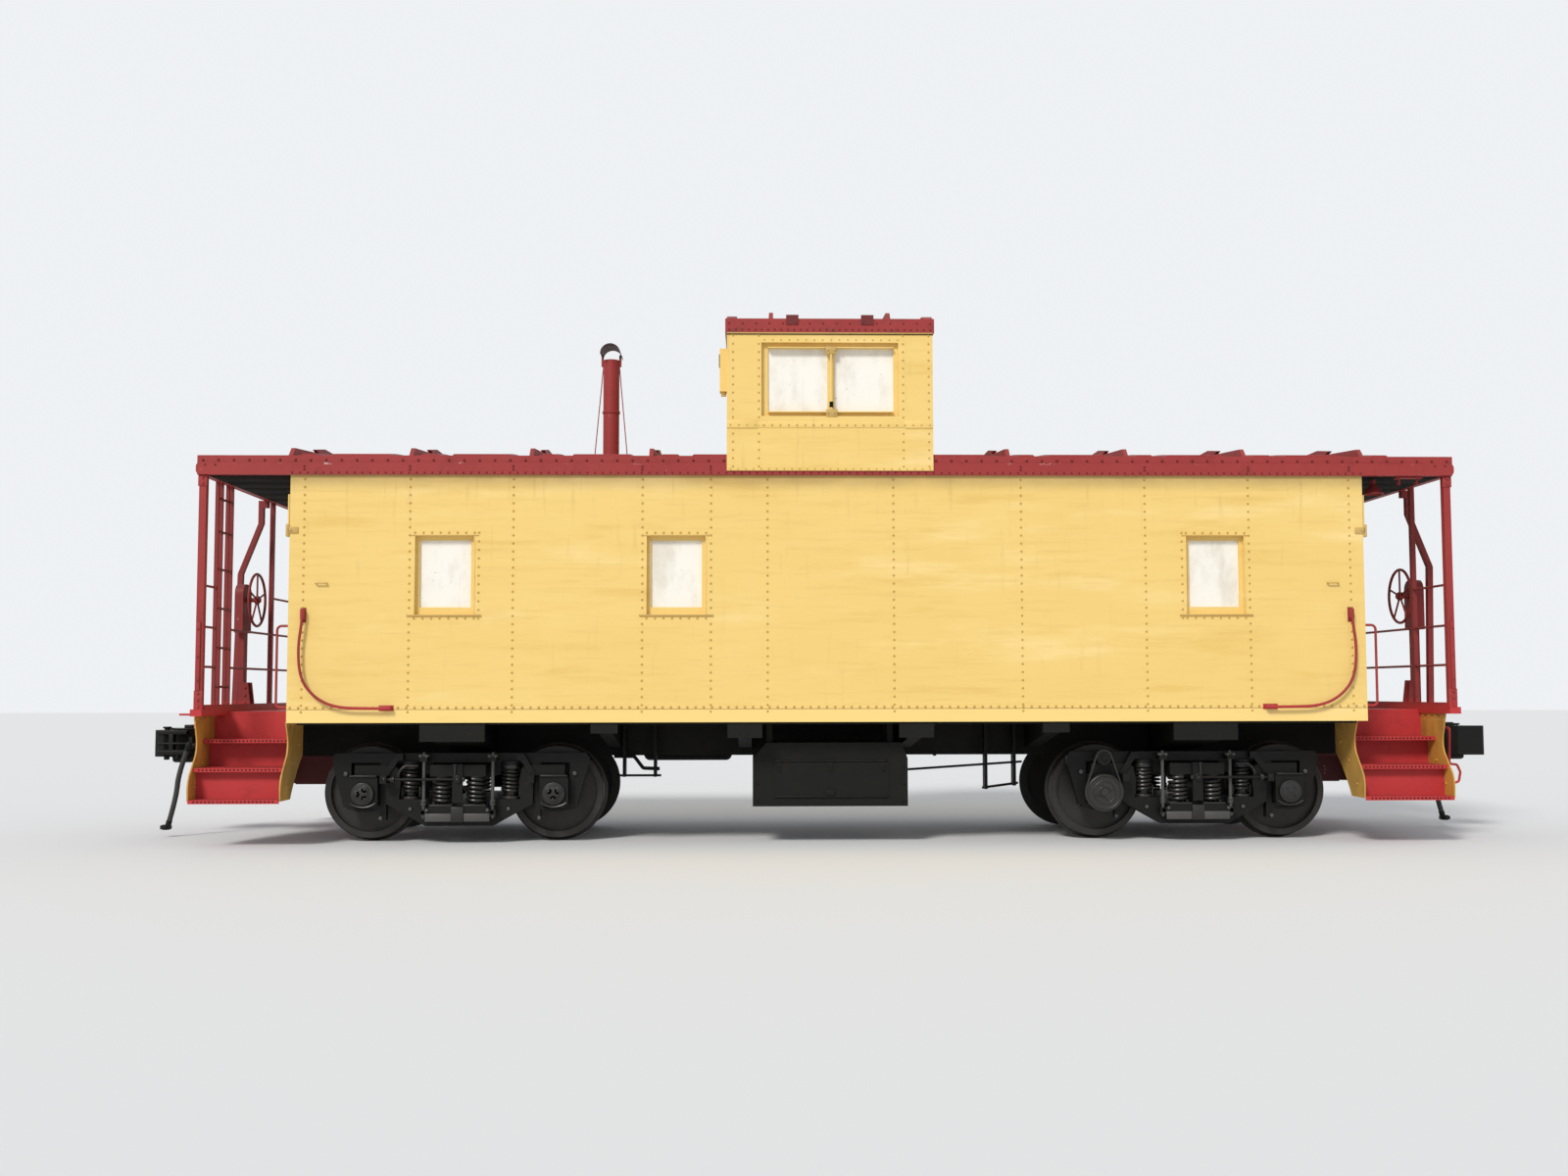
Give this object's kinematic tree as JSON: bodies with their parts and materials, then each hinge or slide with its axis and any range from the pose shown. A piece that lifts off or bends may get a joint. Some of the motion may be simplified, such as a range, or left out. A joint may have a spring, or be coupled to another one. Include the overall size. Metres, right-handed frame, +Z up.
{
  "type": "railway caboose",
  "caption": "Steel railway caboose with a cupola, open end platforms, steps, hand brakes and swing-hanger trucks, in weathered yellow and red paint.",
  "frame": {"origin": "on the plane under the wheel flanges' lowest points, below the middle of the car", "axes": "+X along the car, to the right when seen from the side with the equipment box; +Y towards the far side; +Z up"},
  "size_m": [12.75, 3.052, 4.8058],
  "materials": {
    "yellow_paint": "weathered satin",
    "red_paint": "weathered satin",
    "white_board": "stained paint",
    "underframe_black": "sooty matt",
    "truck_iron": "grimy matt",
    "wheel_steel": "rust film on steel",
    "spring_steel": "grimy matt",
    "worn_iron": "worn bright in places",
    "floor_board": "worn",
    "hose_rubber": "matt"
  },
  "bodies": {
    "car_body": {"air_hose_a": "hose_rubber", "air_hose_b": "hose_rubber", "air_pipes": "underframe_black", "bent_posts": "red_paint", "body_bolsters": "underframe_black", "brake_gear": "underframe_black", "centre_sill": "underframe_black", "couplers": "truck_iron", "crossbearers": "underframe_black", "cupola_ends": "yellow_paint", "cupola_roof": "red_paint", "cupola_sides": "yellow_paint", "cupola_window_boards": "white_board", "end_posts": "red_paint", "end_rails": "red_paint", "end_walls": "yellow_paint", "equipment_box": "underframe_black", "floor": "floor_board", "glad_hand_a": "truck_iron", "glad_hand_b": "truck_iron", "grab_irons": "red_paint", "hand_brakes": "red_paint", "main_roof": "red_paint", "platform_lamp": "red_paint", "platform_steps": "red_paint", "platforms": "red_paint", "rail_loops": "red_paint", "side_sills": "underframe_black", "side_walls": "yellow_paint", "step_side_plates": "yellow_paint", "stove_pipe": "red_paint", "uncoupling_levers": "red_paint", "window_boards": "white_board"},
    "truck_a": {"axle_boxes_a": "truck_iron", "brake_beams_a": "truck_iron", "equaliser_bars_a": "truck_iron", "swing_hangers_a": "worn_iron", "swing_plank_a": "truck_iron", "truck_bolster_a": "truck_iron", "truck_frame_a": "truck_iron", "truck_springs_a": "spring_steel", "truck_transoms_a": "truck_iron"},
    "truck_b": {"axle_boxes_b": "truck_iron", "brake_beams_b": "truck_iron", "equaliser_bars_b": "truck_iron", "generator_belt": "hose_rubber", "generator_drive": "underframe_black", "swing_hangers_b": "worn_iron", "swing_plank_b": "truck_iron", "truck_bolster_b": "truck_iron", "truck_frame_b": "truck_iron", "truck_springs_b": "spring_steel", "truck_transoms_b": "truck_iron"},
    "end_door_a": {"end_door_a": "red_paint"},
    "end_door_b": {"end_door_b": "red_paint"},
    "equipment_box_door": {"equipment_box_door": "underframe_black"},
    "wheelset_a_inner": {"wheelset_a_inner": "wheel_steel"},
    "wheelset_a_outer": {"wheelset_a_outer": "wheel_steel"},
    "wheelset_b_inner": {"wheelset_b_inner": "wheel_steel"},
    "wheelset_b_outer": {"wheelset_b_outer": "wheel_steel"}
  },
  "joints": [
    {"name": "truck_a_swivel", "type": "hinge", "parent": "car_body", "child": "truck_a", "pos_m": [-3.3, 0, 0.742], "axis": [0, 0, 1], "range_deg": [-8, 8]},
    {"name": "wheelset_a_inner_roll", "type": "hinge", "parent": "truck_a", "child": "wheelset_a_inner", "pos_m": [-2.455, 0, 0.4444], "axis": [0, 1, 0], "continuous": true},
    {"name": "wheelset_a_outer_roll", "type": "hinge", "parent": "truck_a", "child": "wheelset_a_outer", "pos_m": [-4.145, 0, 0.4444], "axis": [0, 1, 0], "continuous": true},
    {"name": "end_door_a_swing", "type": "hinge", "parent": "car_body", "child": "end_door_a", "pos_m": [-4.652, 0.374, 2.143], "axis": [0, 0, 1], "range_deg": [0, 95]},
    {"name": "truck_b_swivel", "type": "hinge", "parent": "car_body", "child": "truck_b", "pos_m": [3.3, 0, 0.742], "axis": [0, 0, 1], "range_deg": [-8, 8]},
    {"name": "wheelset_b_inner_roll", "type": "hinge", "parent": "truck_b", "child": "wheelset_b_inner", "pos_m": [2.455, 0, 0.4444], "axis": [0, 1, 0], "continuous": true},
    {"name": "wheelset_b_outer_roll", "type": "hinge", "parent": "truck_b", "child": "wheelset_b_outer", "pos_m": [4.145, 0, 0.4444], "axis": [0, 1, 0], "continuous": true},
    {"name": "end_door_b_swing", "type": "hinge", "parent": "car_body", "child": "end_door_b", "pos_m": [4.652, -0.374, 2.143], "axis": [0, 0, 1], "range_deg": [0, 95]},
    {"name": "equipment_box_door_swing", "type": "hinge", "parent": "car_body", "child": "equipment_box_door", "pos_m": [0.016, -1.17, 0.728], "axis": [-1, 0, 0], "range_deg": [0, 120]}
  ]
}
